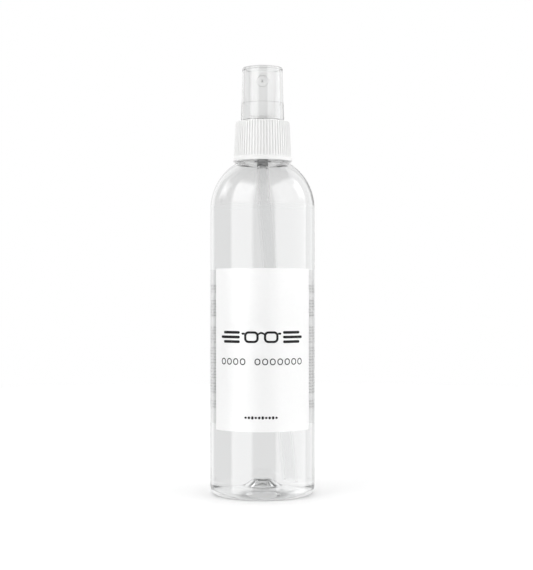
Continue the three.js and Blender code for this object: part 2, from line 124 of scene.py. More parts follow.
# how far the inside of the wall strays from true: (millimetres, waves a turn, radians a
# millimetre of height, phase), from a slow drift to fine streaks and level bands
WALL_WAVES = ((0.05, 2, 0.012, 0.7), (0.03, 5, -0.05, 0), (0.012, 13, 0.02, 2.1),
              (0.007, 23, -0.03, 0.4), (0.012, 1, 0.33, 0), (0.006, 3, 1.1, 0))
# how far the liquid reaches into the wall, so that no gap of air shows between the two
EMBED = 0.06

COLLAR_BORE, COLLAR_HOLE, COLLAR_ROOF = 12.15, 8.7, 1.3
SKIRT_FOOT, SKIRT_TOP, SKIRT_ROUND = 13.75, 13.0, 0.9
RIBS, RIB_DEPTH = 60, 0.55

TUBE_R, TUBE_BORE, SPIGOT_R = 2.75, 1.85, 1.75
TUBE_LEAN, TUBE_BEND, TUBE_CUT = 10.0, 1.15, math.radians(20)

# faces round the axis, where a piece needs more than a few
BOTTLE_SIDES, LIQUID_SIDES, COLLAR_SIDES, CAP_SIDES = 216, 288, 720, 224
# metres under which two points are one and an edge is nothing, as made and after booleans
MERGE, TINY_EDGE, TINY_CUT_EDGE = 2e-7, 1e-8, 1e-7
NEARLY_ZERO = 1e-6


# ---------------------------------------------------------------- profile helpers

def smooth(low, high, x):
    """0 below low, 1 above high, and an S-curve between."""
    t = np.clip((x - low) / (high - low), 0, 1)
    return t * t * (3 - 2 * t)


def arc(r, z, radius, start, end, steps):
    """Points of an arc about (r, z), angles in degrees."""
    angles = np.radians(np.linspace(start, end, steps + 1))
    return [(r + radius * math.cos(a), z + radius * math.sin(a)) for a in angles]


def rounded(points, radius=0.2, closed=False, steps=4):
    """Rounds the corners of a profile. A point with a third number has its own radius.

    Each corner gets an extra point before and after its curve, which keeps flats shaded flat."""
    nearly_straight, side_share, guard_share = 1.5, 0.42, 0.12
    count = len(points)
    out = []
    for i, point in enumerate(points):
        size = point[2] if len(point) > 2 else radius
        here = np.array(point[:2], float)
        if size == 0 or (not closed and i in (0, count - 1)):
            out.append(tuple(here))
            continue
        before = np.array(points[i - 1][:2], float) - here
        after = np.array(points[(i + 1) % count][:2], float) - here
        lengths = np.linalg.norm(before), np.linalg.norm(after)
        before, after = before / lengths[0], after / lengths[1]
        half = math.acos(float(np.clip(before @ after, -1, 1))) / 2
        if half > nearly_straight:
            out.append(tuple(here))
            continue
        cut = min(size / math.tan(half), side_share * min(lengths))
        guard = guard_share * cut
        out.append(tuple(here + before * (cut + guard)))
        for t in np.linspace(0, 1, steps + 1):
            out.append(tuple(here + before * cut * (1 - t) ** 2 + after * cut * t ** 2))
        out.append(tuple(here + after * (cut + guard)))
    return out


def dense(points, step):
    """Adds points so that no stretch of a profile is longer than step."""
    out = [points[0]]
    for a, b in zip(points, points[1:]):
        pieces = max(1, math.ceil(math.dist(a, b) / step))
        out += [tuple(np.array(a) + (np.array(b) - np.array(a)) * k / pieces)
                for k in range(1, pieces + 1)]
    return out


# ---------------------------------------------------------------- mesh helpers

def turned(profile, sides, warp=None):
    """Vertices and faces of a profile of (radius, height) turned about +Z.

    A profile that starts and ends on the axis makes a plug, any other one a ring."""
    points = np.array(profile, float)
    rows = len(points)
    angle = np.arange(sides) * TAU / sides
    r, a = np.meshgrid(points[:, 0], angle, indexing="ij")
    z = np.meshgrid(points[:, 1], angle, indexing="ij")[0]
    if warp:
        r, z = warp(r, z, a)
    verts = np.stack([r * np.cos(a), r * np.sin(a), z], -1).reshape(-1, 3)
    plug = points[0, 0] < NEARLY_ZERO and points[-1, 0] < NEARLY_ZERO
    faces = []
    for i in range(rows - 1 if plug else rows):
        low, high = i * sides, ((i + 1) % rows) * sides
        for j in range(sides):
            k = (j + 1) % sides
            faces.append((low + j, low + k, high + k, high + j))
    return verts, faces


def joined(*parts):
    """Several (vertices, faces) pairs as one."""
    verts, faces, offset = [], [], 0
    for v, f in parts:
        verts.append(np.asarray(v, float))
        faces += [tuple(i + offset for i in face) for face in f]
        offset += len(v)
    return np.concatenate(verts), faces


def cleaned(mesh, tiny, triangles=False):
    """Merges doubled points, drops edges of no length and turns every face outwards."""
    bm = bmesh.new()
    bm.from_mesh(mesh)
    bmesh.ops.remove_doubles(bm, verts=bm.verts, dist=MERGE)
    bmesh.ops.dissolve_degenerate(bm, edges=bm.edges, dist=tiny)
    if triangles:
        bmesh.ops.triangulate(bm, faces=bm.faces)
    if bm.calc_volume(signed=True) < 0:
        bmesh.ops.reverse_faces(bm, faces=bm.faces)
    bm.to_mesh(mesh)
    bm.free()
    return mesh


def mesh_of(name, shape):
    """A clean mesh in metres from vertices in millimetres and faces."""
    verts, faces = shape
    mesh = bpy.data.meshes.new(name)
    mesh.from_pydata((np.asarray(verts) * MM).tolist(), [], faces)
    return cleaned(mesh, TINY_EDGE)


def added(name, data):
    """A new object in the scene."""
    obj = bpy.data.objects.new(name, data)
    scene.collection.objects.link(obj)
    return obj


def piece(name, mesh, materials, body, nodes=(), sharp=35):
    """Adds a piece that rides on a CAD body and stands for CAD nodes. Edges steeper than
    sharp degrees stay sharp."""
    mesh.shade_smooth()
    mesh.set_sharp_from_angle(angle=math.radians(sharp))
    for material in materials:
        mesh.materials.append(material)
    obj = added(name, mesh)
    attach(obj, body)
    if nodes:
        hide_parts(*nodes)
    return obj


def swept(points, bar_radius, sides):
    """A round bar with capped ends along a list of points."""
    line = np.array(points, float)
    tangent = np.gradient(line, axis=0)
    tangent /= np.linalg.norm(tangent, axis=1)[:, None]
    out = line * (1, 1, 0)
    out /= np.linalg.norm(out, axis=1)[:, None]
    side = out - (out * tangent).sum(1)[:, None] * tangent
    side /= np.linalg.norm(side, axis=1)[:, None]
    up = np.cross(tangent, side)
    angle = np.arange(sides) * TAU / sides
    around = np.cos(angle)[None, :, None], np.sin(angle)[None, :, None]
    ring = around[0] * side[:, None] + around[1] * up[:, None]
    verts = (line[:, None] + ring * bar_radius).reshape(-1, 3)
    faces = [(i * sides + j, i * sides + (j + 1) % sides,
              (i + 1) * sides + (j + 1) % sides, (i + 1) * sides + j)
             for i in range(len(line) - 1) for j in range(sides)]
    last = (len(line) - 1) * sides
    faces += [tuple(range(sides))[::-1], tuple(last + j for j in range(sides))]
    return verts, faces


def thread_height(z, a, thread):
    """How far a round thread ridge stands beyond its own centre radius; -1 where there is none."""
    best = np.full(np.shape(z), -1.0)
    for turn in range(-2, 3):
        t = a / TAU + turn - thread["start"]
        inside = (t >= 0) & (t <= thread["turns"])
        fade = smooth(0, THREAD_FADE, t) * smooth(0, THREAD_FADE, thread["turns"] - t)
        radius = thread["radius"] * np.sqrt(np.clip(fade, 0.0001, 1))
        gap = z - (thread["z"] + PITCH * t)
        height = np.sqrt(np.clip(radius ** 2 - gap ** 2, 0, None))
        best = np.where(inside & (np.abs(gap) < radius), np.maximum(best, height), best)
    return best


def cut_and_join(shape, steps):
    """Runs boolean steps of (operation, shape) on a shape and gives the mesh in metres. The
    booleans work in millimetres, where their tolerances are small beside the part."""
    def stand(part, name):
        """An object for the booleans, in millimetres."""
        mesh = mesh_of(name, part)
        mesh.transform(Matrix.Scale(1 / MM, 4))
        return added(name, mesh)

    base = stand(shape, "work")
    tools = []
    for operation, part in steps:
        tools.append(stand(part, "tool"))
        modifier = base.modifiers.new("step", "BOOLEAN")
        modifier.operation = operation
        modifier.solver = "EXACT"
        modifier.object = tools[-1]
    graph = bpy.context.evaluated_depsgraph_get()
    mesh = bpy.data.meshes.new_from_object(base.evaluated_get(graph))
    mesh.transform(Matrix.Scale(MM, 4))
    for obj in [base, *tools]:
        bpy.data.objects.remove(obj)
    return cleaned(mesh, TINY_CUT_EDGE, triangles=True)


def about_y(shape):
    """Turns a shape made about +Z so that its axis runs along +Y."""
    verts, faces = shape
    verts = np.asarray(verts)
    return np.stack([verts[:, 0], verts[:, 2], -verts[:, 1]], -1), faces


def raised(shape, z):
    """Moves a shape up."""
    return np.asarray(shape[0]) + (0, 0, z), shape[1]


def plug(r, low, high, sides=64):
    """A solid rod along +Z."""
    return turned([(0, low), (r, low), (r, high), (0, high)], sides)


def box(x, y, z):
    """A block between three (low, high) pairs."""
    verts = [(a, b, c) for a in x for b in y for c in z]
    return verts, [(0, 1, 3, 2), (4, 6, 7, 5), (0, 4, 5, 1),
                   (2, 3, 7, 6), (0, 2, 6, 4), (1, 5, 7, 3)]


# ---------------------------------------------------------------- materials

def material(name, color, roughness, color_2=None, roughness_2=None, grain=900.0,
             bump=0.0, bump_scale=None, stretch=(1, 1, 1), **sockets):
    """A procedural finish: colour and roughness wander between two values over a noise of
    grain cells a metre, and another noise gives the moulded texture, bump metres high."""
    mat = bpy.data.materials.new(name)
    mat.use_nodes = True
    nodes, links = mat.node_tree.nodes, mat.node_tree.links
    shader = nodes["Principled BSDF"]
    shader.inputs["Base Color"].default_value = (*color, 1)
    shader.inputs["Roughness"].default_value = roughness
    for key, value in sockets.items():
        shader.inputs[key.replace("_", " ")].default_value = value
    place = nodes.new("ShaderNodeTexCoord")
    mapping = nodes.new("ShaderNodeMapping")
    mapping.inputs["Scale"].default_value = stretch
    links.new(place.outputs["Object"], mapping.inputs["Vector"])

    def noise(scale, detail):
        """A noise in the piece's own coordinates."""
        node = nodes.new("ShaderNodeTexNoise")
        node.inputs["Scale"].default_value = scale
        node.inputs["Detail"].default_value = detail
        links.new(mapping.outputs["Vector"], node.inputs["Vector"])
        return node

    def ramp(source, low, high, target):
        """Spreads a noise between two values and feeds it to a socket."""
        node = nodes.new("ShaderNodeValToRGB")
        node.color_ramp.elements[0].position = 0.3
        node.color_ramp.elements[1].position = 0.7
        node.color_ramp.elements[0].color = low
        node.color_ramp.elements[1].color = high
        links.new(source.outputs["Fac"], node.inputs["Fac"])
        links.new(node.outputs["Color"], target)

    if color_2:
        ramp(noise(grain, 3), (*color, 1), (*color_2, 1), shader.inputs["Base Color"])
    if roughness_2:
        ramp(noise(grain * 0.6, 4), (roughness,) * 3 + (1,), (roughness_2,) * 3 + (1,),
             shader.inputs["Roughness"])
    if bump:
        node = nodes.new("ShaderNodeBump")
        node.inputs["Distance"].default_value = bump
        links.new(noise(bump_scale or grain * 3, 2).outputs["Fac"], node.inputs["Height"])
        links.new(node.outputs["Normal"], shader.inputs["Normal"])
    return mat


PET_IOR, LIQUID_IOR, CAP_IOR, TUBE_IOR = 1.575, 1.34, 1.49, 1.5
TUBE_IOR_WET = 1.06
WAVY, CAST, FILM = 90, 2600, 3800
EVEN = (1, 1, 1)


def clear(name, color, roughness, ior, bump, bump_scale, stretch=EVEN):
    """A see-through plastic or liquid."""
    return material(name, color, roughness, bump=bump, bump_scale=bump_scale, stretch=stretch,
                    Transmission_Weight=1.0, IOR=ior)


def glowing(name, weight, scale, color, roughness, color_2, roughness_2, **more):
    """A thin white plastic or film that lets the light behind it through."""
    return material(name, color, roughness, color_2, roughness_2, Subsurface_Weight=weight,
                    Subsurface_Radius=EVEN, Subsurface_Scale=scale, **more)


pet = clear("clear_pet", (0.987, 0.988, 0.988), 0.0, PET_IOR, 4e-6, WAVY, (1, 1, 0.25))
# the base's darker tint is partly its thickness and partly painted shade of the floor under the
# bottle
pet_base_painted_shade = clear("clear_pet_base", (0.895, 0.897, 0.897), 0.0, PET_IOR, 80e-6, 120)
pet_wet = clear("clear_pet_under_liquid", (0.987, 0.989, 0.989), 0.0, PET_IOR / LIQUID_IOR,
                4e-6, WAVY, (1, 1, 0.25))
liquid = clear("lens_cleaning_liquid", (0.987, 0.989, 0.989), 0.0, LIQUID_IOR, 2e-6, 70)
liquid_side = clear("lens_cleaning_liquid_at_wall", (0.987, 0.989, 0.989), 0.0, 1.0, 2e-6, 70)
clear_pp = clear("clear_polypropylene", (0.991, 0.993, 0.993), 0.03, CAP_IOR, 3e-6, 160,
                 (1, 1, 0.3))
tube_dry = clear("natural_tube", (0.932, 0.934, 0.934), 0.04, TUBE_IOR, 6e-6, 300, (1, 1, 0.1))
tube_wet = clear("natural_tube_in_liquid", (0.952, 0.954, 0.954), 0.1, TUBE_IOR_WET, 6e-6, 300,
                 (1, 1, 0.1))
white_pp = material("white_polypropylene", (0.72, 0.72, 0.717), 0.33, (0.735, 0.735, 0.731), 0.42,
                    grain=260, bump=6e-6, bump_scale=CAST)
# a lighter copy of the white plastic: partly real translucency, partly painted light for the
# shaded bore and lower edge of the collar
painted_lighter_white_pp = glowing("white_polypropylene_lit_through_painted_lighter", 1.0, 0.01, (0.84, 0.84, 0.837), 0.35,
                        (0.855, 0.855, 0.852), 0.45, grain=260, bump=6e-6, bump_scale=CAST)
button_pp = material("white_button_plastic", (0.74, 0.74, 0.737), 0.33, (0.755, 0.755, 0.75), 0.42,
                     grain=260, bump=6e-6, bump_scale=CAST)
natural_pp = material("natural_polypropylene", (0.8, 0.81, 0.805), 0.3, (0.84, 0.845, 0.84), 0.38,
                      grain=300, bump=6e-6, bump_scale=2200)
grey_pp = material("grey_polypropylene", (0.1, 0.102, 0.105), 0.4, (0.125, 0.127, 0.13), 0.48,
                   grain=320, bump=8e-6, bump_scale=2400)
paper = glowing("label_film", 0.6, 0.0008, (0.865, 0.865, 0.865), 0.3, (0.878, 0.878, 0.876), 0.37,
                grain=700, bump=4e-6, bump_scale=FILM)
# a darker copy of the label film for its inner face: partly real translucency, partly painted
# shade that holds back the stronger light behind clear plastic
painted_darker_paper = glowing("label_film_lit_through_painted_darker", 0.52, 0.002, (0.73, 0.73, 0.73), 0.4,
                     (0.745, 0.745, 0.743), 0.48, grain=700, bump=4e-6, bump_scale=FILM)
ink = material("label_ink", (0.006, 0.006, 0.0065), 0.45, (0.012, 0.012, 0.0125), 0.55,
               grain=1200, bump=2e-6, bump_scale=5000, Specular_IOR_Level=0.12)
small_print = material("label_small_print", (0.3, 0.3, 0.305), 0.4, (0.4, 0.4, 0.4), 0.5,
                       grain=1500, bump=2e-6, bump_scale=5000)
faint_print = material("label_print_from_behind", (0.52, 0.52, 0.523), 0.4, (0.6, 0.6, 0.6), 0.5,
                       grain=1500, bump=2e-6, bump_scale=5000)
foam = material("closed_cell_liner", (0.62, 0.62, 0.6), 0.7, (0.72, 0.72, 0.7), 0.85,
                grain=1400, bump=60e-6, bump_scale=CAST)
steel = material("spring_steel", (0.55, 0.56, 0.58), 0.2, (0.66, 0.67, 0.69), 0.32,
                 grain=1500, bump=3e-6, bump_scale=4000, stretch=(1, 1, 4), Metallic=1.0)


# ---------------------------------------------------------------- bottle and liquid

def push_up_z(r):
    """Height of the domed push-up under the bottle, at a radius."""
    sphere = (FOOT_IN ** 2 + PUSH_UP ** 2) / (2 * PUSH_UP)
    return PUSH_UP - sphere + math.sqrt(sphere ** 2 - r ** 2)


def underside(lift, gate):
    """The push-up from the axis out to the foot ring; gate is how far its nub hangs down."""
    ring = [(r, push_up_z(r) + lift, 0) for r in np.linspace(HUMP_BASE + 2, FOOT_IN - 1.5, 18)]
    top = HUMP_Z + lift
    nub = [(0, top - gate), (0.8, top - gate, 0.15), (1.0, top, 0.15)] if gate else [(0, top)]
    return rounded([
        *nub,
        (HUMP_TOP, top, 0.9),
        (HUMP_BASE, push_up_z(HUMP_BASE) + lift, 1.6),
        *ring,
        (FOOT_IN, lift, 0.9),
        (BODY_R - HEEL_R, lift, 0),
    ])


def heel(offset):
    """The round heel, from the foot ring up to the wall, that far inside the outer skin."""
    return arc(BODY_R - HEEL_R, HEEL_R, HEEL_R - offset, -84, -3, 18)


def dome_angle(radius, r):
    """The angle at which a shoulder dome of that radius comes in to r, in degrees."""
    return math.degrees(math.acos((r - DOME_CENTRE) / radius))


def unevenness(z, a):
    """How far the blown inside of the bottle strays from true."""
    strays = sum(depth * np.sin(around * a + along * z + phase)
                 for depth, around, along, phase in WALL_WAVES)
    return strays * smooth(9, 18, z) * (1 - smooth(NECK_FOOT - 6, NECK_FOOT, z))


outside = underside(0, GATE_NUB) + heel(0)
outside += dense([(BODY_R, HEEL_TOP), (BODY_R, SHOULDER_Z)], 4.4)
outside += arc(DOME_CENTRE, SHOULDER_Z, DOME_R, 1, dome_angle(DOME_R, DOME_END) - 1.5, 56)
neck = rounded([
    outside[-1],
    (DOME_END, SHOULDER_Z + math.sqrt(DOME_R ** 2 - (DOME_END - DOME_CENTRE) ** 2), 0.5),
    (NECK_R, NECK_FOOT, 0.5),
    (NECK_R, RIM_Z, 0.35),
    (NECK_BORE, RIM_Z, 0.25),
    (NECK_BORE, NECK_FOOT - 1),
])
outside += dense(neck[1:-1], 0.24)
inside = dense([outside[-1], (NECK_BORE, NECK_FOOT - 1.2)], 0.8)[1:]
inner_dome = DOME_R - WALL
inside += arc(DOME_CENTRE, SHOULDER_Z, inner_dome, dome_angle(inner_dome, NECK_BORE + 0.5), 0, 48)
inside += dense([(BODY_R - WALL, SHOULDER_Z), (BODY_R - WALL, HEEL_TOP)], 2.2)[1:]
inside += (underside(BASE_WALL, 0) + heel(WALL))[::-1]
outer_rows = len(outside)


def bottle_warp(r, z, a):
    """Adds the uneven inside, the neck's thread and the mould's seam to the turned bottle."""
    r[outer_rows:] += np.where(r[outer_rows:] > NECK_ZONE_R,
                               unevenness(z[outer_rows:], a[outer_rows:]), 0)
    ridge = NECK_THREAD["centre"] + thread_height(z, a, NECK_THREAD)
    on_neck = (z > NECK_FOOT + 1) & (r > NECK_R - 0.01)
    r = np.where(on_neck, np.maximum(r, ridge), r)
    # the seam stands at the body's full radius, and the rest of the outside is a little less
    seam = np.exp(-(np.abs(np.sin(a)) / SEAM_WIDTH) ** 2)
    seam *= smooth(2, 6, z) * (1 - smooth(150, 156, z))
    outer = np.zeros_like(r)
    outer[:outer_rows] = 1
    return r - SEAM_RISE * (1 - seam) * outer * (r > NECK_ZONE_R), z


bottle = piece("bottle", mesh_of("bottle", turned(outside + inside, BOTTLE_SIDES, bottle_warp)),
               [pet, pet_wet, pet_base_painted_shade], "bottle", ["bottle"])
WET, THICK_AND_SHADED = 1, 2
for polygon in bottle.data.polygons:
    # the inside of the wall bends light less where the liquid is against it, and the thick base is
    # tinted darker than the wall, partly for its thickness and partly as painted shade of the
    # floor under the bottle
    centre, normal = polygon.center / MM, polygon.normal
    r = math.hypot(centre.x, centre.y)
    inward = r > BODY_R - 2 and normal.x * centre.x + normal.y * centre.y < 0
    above_base = normal.z > 0.02 and centre.z < 2 * HUMP_Z
    if centre.z < LIQUID_Z + 0.1 and (inward or above_base):
        polygon.material_index = WET
    elif centre.z < HUMP_Z + 0.5 and r < FOOT_IN + 2:
        polygon.material_index = THICK_AND_SHADED


def tube_x(z):
    """Centre line of the dip tube, which leans once it has left its spigot."""
    drop = np.clip((housing_lo[2] - z) / (housing_lo[2] - tube_lo[2]), 0, None)
    return TUBE_LEAN * drop ** TUBE_BEND


def fluid_warp(r, z, a):
    """Presses the liquid into the uneven wall and curves the edges of its surface."""
    top = z > LIQUID_Z - 0.01
    wall_r = BODY_R - WALL
    side = (r > wall_r - 4) & (z > HEEL_R)
    r = r + np.where(side & ~top, EMBED + unevenness(z, a), 0)
    # the surface climbs a little up the wall and up the tube
    at_wall, at_tube, reach = 0.08, 0.1, 0.5
    climb = at_wall * np.exp(-np.clip(wall_r - r, 0, None) / reach)
    centre = tube_x(LIQUID_Z)
    away = np.hypot(r * np.cos(a) - centre, r * np.sin(a))
    climb += at_tube * np.exp(-np.abs(away - (TUBE_R + TUBE_BORE) / 2) / reach)
    return r, np.where(top, LIQUID_Z + climb * smooth(0, 0.4, BODY_R + 0.2 - r), z)


top_r = BODY_R - WALL - 0.05 + EMBED
body_fluid = [(r, z - EMBED) for r, z in underside(BASE_WALL, 0)] + heel(WALL - EMBED)
body_fluid += dense([(BODY_R - WALL, HEEL_TOP), (BODY_R - WALL, LIQUID_Z - 0.5)], 2.2)
surface_r = [*np.linspace(top_r, top_r - 4, 24), *np.linspace(top_r - 4.6, 6.4, 16),
             *np.linspace(6, 0, 34)]
body_fluid += [(r, LIQUID_Z) for r in surface_r]
fluid_mesh = mesh_of("cleaning_fluid", turned(body_fluid, LIQUID_SIDES, fluid_warp))
fluid = piece("cleaning_fluid", fluid_mesh, [liquid, liquid_side],
              "bottle", ["cleaning_fluid"], sharp=60)
for polygon in fluid.data.polygons:
    # only the open surface bends light: at the wall the bottle's own material does it
    open_surface = polygon.normal.z > 0.3 and polygon.center.z > LIQUID_Z * 0.99 * MM
    polygon.material_index = 0 if open_surface else 1

# ---------------------------------------------------------------- dip tube


def dip_tube_shape():
    """A leaning tube, cut at an angle at its foot and stretched over the spigot at its top."""
    sides, steps = 64, 96
    angle = np.arange(sides) * TAU / sides
    verts, faces = [], []
    for radius, on_spigot in ((TUBE_R, TUBE_R), (TUBE_BORE, SPIGOT_R - 0.05)):
        cut = tube_lo[2] + (TUBE_R - radius * np.cos(angle)) * math.tan(TUBE_CUT)
        for t in np.linspace(0, 1, steps + 1):
            z = cut + t * (tube_hi[2] - cut)
            r = np.where(z > housing_lo[2] - 0.2, on_spigot, radius)
            verts += list(zip(tube_x(z) + r * np.cos(angle), r * np.sin(angle), z))
    # up the outside, over the top, down the bore and back out under the foot
    outer, bore = range(steps + 1), range(2 * steps + 1, steps, -1)
    loop_rows = [row * sides for row in (*outer, *bore, 0)]
    for low, high in zip(loop_rows, loop_rows[1:]):
        faces += [(low + j, low + (j + 1) % sides, high + (j + 1) % sides, high + j)
                  for j in range(sides)]
    return verts, faces


tube = piece("dip_tube", mesh_of("dip_tube", dip_tube_shape()), [tube_dry, tube_wet],
             "pump", ["dip_tube"])
for polygon in tube.data.polygons:
    polygon.material_index = 1 if polygon.center.z < (LIQUID_Z + 0.3) * MM else 0

# ---------------------------------------------------------------- labels

LABEL_HALF_ANGLE = math.radians(60)
LABEL_IN, LABEL_OUT = BODY_R - 0.05, BODY_R + 0.11
CORNER = 0.7


def ribbon(near, far, low, high, centre):
    """A thin solid between two lines drawn on the bottle as (arc length, height), from one
    radius to another. Lines that come back to their start make a ring."""
    verts = []
    for radius in (high, low):
        for line in (near, far):
            for s, z in line:
                a = centre + s / BODY_R
                verts.append((radius * math.cos(a), radius * math.sin(a), z))
    n = len(near)
    ring = math.dist(near[0], near[-1]) < NEARLY_ZERO
    faces = []
    for i in range(n - 1):
        a, b, c, d = i, n + i, 2 * n + i, 3 * n + i
        faces += [(a, a + 1, b + 1, b), (d, d + 1, c + 1, c),
                  (c, c + 1, a + 1, a), (b, b + 1, d + 1, d)]
    if not ring:
        e = n - 1
        faces += [(0, n, 3 * n, 2 * n), (e, 2 * n + e, 3 * n + e, n + e)]
    return verts, faces


def label_shape(centre):
    """A shell with small round corners, cut in strips along its height."""
    half = LABEL_HALF_ANGLE * BODY_R
    steps = np.concatenate([np.linspace(0, CORNER, 6),
                            np.linspace(CORNER, 2 * half - CORNER, 90)[1:-1],
                            np.linspace(2 * half - CORNER, 2 * half, 6)])
    bottom, top = [], []
    for s in steps:
        edge = min(s, 2 * half - s)
        trim = CORNER - math.sqrt(max(CORNER ** 2 - max(CORNER - edge, 0) ** 2, 0))
        bottom.append((s - half, LABEL_LO + trim))
        top.append((s - half, LABEL_HI - trim))
    return ribbon(bottom, top, LABEL_IN, LABEL_OUT, centre)


for name, centre in (("front_label", FRONT), ("back_label", BACK)):
    label = piece(name, mesh_of(name, label_shape(centre)), [paper, painted_darker_paper],
                  "bottle", [name])
    for polygon in label.data.polygons:
        # the side stuck to the bottle is seen through the liquid, with the daylight behind it, and
        # takes a darker copy of the film as painted shade against the stronger light behind clear
        # plastic
        facing = polygon.normal.x * polygon.center.x + polygon.normal.y * polygon.center.y
        polygon.material_index = 1 if facing < -0.5 * BODY_R * MM else 0


# ---------------------------------------------------------------- printed marks

def bar(s, z, width, height):
    """A bar with round ends."""
    r = min(width, height) / 2
    turn = np.linspace(0, math.pi / 2, 5)
    left = [(s + r - r * math.cos(t), r * math.sin(t)) for t in turn]
    right = [(s + width - r + r * math.sin(t), r * math.cos(t)) for t in turn]
    middle = [(x, r) for x in np.linspace(s + r, s + width - r, max(2, int(width)) + 1)[1:-1]]
    half = left + middle + right
    grow = height / 2 - r
    return ([(x, z - h - grow) for x, h in half], [(x, z + h + grow) for x, h in half])


def loop(s, z, width, height, corner, stroke, steps=8):
    """A rounded frame, or a ring where the corner is half the height."""
    lines = []
    for inset in (0, stroke):
        w, h, r = width / 2 - inset, height / 2 - inset, max(corner - inset, 0.05)
        line = []
        corners = (w - r, h - r), (r - w, h - r), (r - w, r - h), (w - r, r - h)
        for k, (x, y) in enumerate(corners):
            for t in np.linspace(0, math.pi / 2, steps + 1):
                a = k * math.pi / 2 + t
                line.append((s + x + r * math.cos(a), z + y + r * math.sin(a)))
        lines.append(line + line[:1])
    return lines[0], lines[1]


def finely(near, far, step=0.6):
    """Both edges of a mark in steps short enough to follow the round of the bottle."""
    lines = [near[:1], far[:1]]
    for i in range(len(near) - 1):
        longest = max(math.dist(near[i], near[i + 1]), math.dist(far[i], far[i + 1]))
        pieces = math.ceil(longest / step)
        for line, edge in zip(lines, (near, far)):
            start, end = np.array(edge[i]), np.array(edge[i + 1])
            line += [tuple(start + (end - start) * k / pieces) for k in range(1, pieces + 1)]
    return lines


def printed(name, marks, centre, mat, low, high):
    """A piece made of marks on one of the labels."""
    shape = joined(*[ribbon(*finely(a, b), low, high, centre) for a, b in marks])
    return piece(name, mesh_of(name, shape), [mat], "bottle")


LABEL_MID = -0.5
MARK_Z, LINE_Z, FOOT_Z = LABEL_LO + 43.7, LABEL_LO + 32.35, LABEL_LO + 6.6
INK_LOW, INK_HIGH = BODY_R + 0.09, BODY_R + 0.135

# a pair of glasses between two stacks of plain bars
lens_w, lens_h, gap = 6.8, 5.4, 2.4
marks = [loop(LABEL_MID + side * (lens_w + gap) / 2, MARK_Z, lens_w, lens_h, 2.1, 1.05)
         for side in (-1, 1)]
bridge = np.linspace(-gap / 2 - 0.5, gap / 2 + 0.5, 9)
marks.append(([(LABEL_MID + x, MARK_Z + 1.0 + 0.5 * math.cos(x * 1.3)) for x in bridge],
              [(LABEL_MID + x, MARK_Z + 1.95 + 0.5 * math.cos(x * 1.3)) for x in bridge]))
for side in (-1, 1):
    arm = LABEL_MID + side * (lens_w + gap / 2 + 0.55) - 0.8
    marks.append(bar(arm, MARK_Z + 1.6, 1.6, 0.95))
    for step, trim in ((-1, 1.6), (0, 0), (1, 1.6)):
        start = LABEL_MID + (10.2 if side > 0 else -20.9 + trim)
        marks.append(bar(start, MARK_Z + 2.15 * step, 10.7 - trim, 1.25))
printed("front_mark", marks, FRONT, ink, INK_LOW, INK_HIGH)

# a row of fine rings, and a row of short dashes under it
rings = [loop(LABEL_MID - 19.4 + 3.53 * k, LINE_Z, 2.7, 3.1, 1.35, 0.46)
         for k in range(12) if k != 4]
printed("front_rings", rings, FRONT, ink, INK_LOW, INK_HIGH)
dashes = [bar(LABEL_MID - 7.9 + 1.6 * k, FOOT_Z, 1.15, 1.0 + 0.25 * (k % 3)) for k in range(10)]
printed("front_dashes", dashes, FRONT, ink, INK_LOW, INK_HIGH)


def print_rows():
    """Plain bars in rows, like small print seen from a distance."""
    row_count, pitch, thickness, word_gap, half_width = 42, 1.45, 0.62, 0.6, 21.0
    left_blank = (3, 4, 11, 12, 13, 20, 37, 38)
    rows = []
    for k in range(row_count):
        if k in left_blank:
            continue
        z = LABEL_HI - 8 - pitch * k
        s = -half_width
        end = half_width - (k * 5 % 7) * 1.2
        word = k
        while s < end - 2:
            width = min(1.6 + (word * 7 % 5) * 0.9, end - s)
            rows.append(bar(s, z, width, thickness))
            s += width + word_gap
            word += 3
    return rows


printed("back_print", print_rows(), BACK, small_print, INK_LOW, INK_HIGH)
printed("back_print_shown_through", print_rows(), BACK, faint_print,
        LABEL_IN - 0.03, LABEL_IN + 0.02)

# ---------------------------------------------------------------- collar

rib_lo, rib_hi = collar_lo[2] + 1.9, collar_hi[2] - 0.9
collar_profile = rounded([
    (COLLAR_BORE + 0.5, collar_lo[2], 0.15),
    (collar_hi[0], collar_lo[2], 0.2),
    (collar_hi[0], collar_lo[2] + 1.5, 0.25),
    (SKIRT_FOOT, rib_lo, 0.2),
    (SKIRT_TOP, rib_hi, 0),
])
shoulder = arc(SKIRT_TOP - SKIRT_ROUND, rib_hi, SKIRT_ROUND, 0, 90, 8)
roof = collar_hi[2] - COLLAR_ROOF
collar_rows = dense(collar_profile[:-1] + shoulder, 0.55)
collar_rows += rounded([shoulder[-1], (COLLAR_HOLE, collar_hi[2], 0.25), (COLLAR_HOLE, roof, 0.15),
                        (COLLAR_BORE, roof, 0.4), (COLLAR_BORE, collar_hi[2] - 3.5)])[1:]
collar_rows += dense([collar_rows[-1], (COLLAR_BORE, collar_lo[2] + 2)], 0.28)[1:]
collar_rows += [(COLLAR_BORE, collar_lo[2] + 0.5)]


def collar_warp(r, z, a):
    """Cuts the grooves between the ribs and raises the thread inside."""
    phase = np.abs((a * RIBS / TAU) % 1 - 0.5)
    groove = 1 - smooth(0.1, 0.27, phase)
    along = smooth(rib_lo - 0.1, rib_lo + 0.7, z) * (1 - smooth(rib_hi + 0.1, rib_hi + 0.75, z))
    skin = r > COLLAR_BORE + 0.05
    r = np.where(skin, r - RIB_DEPTH * groove * along, r)
    height = thread_height(z, a, COLLAR_THREAD)
    inner = (np.abs(r - COLLAR_BORE) < 0.01) & (height > 0)
    return np.where(inner, np.minimum(r, COLLAR_THREAD["centre"] - height), r), z


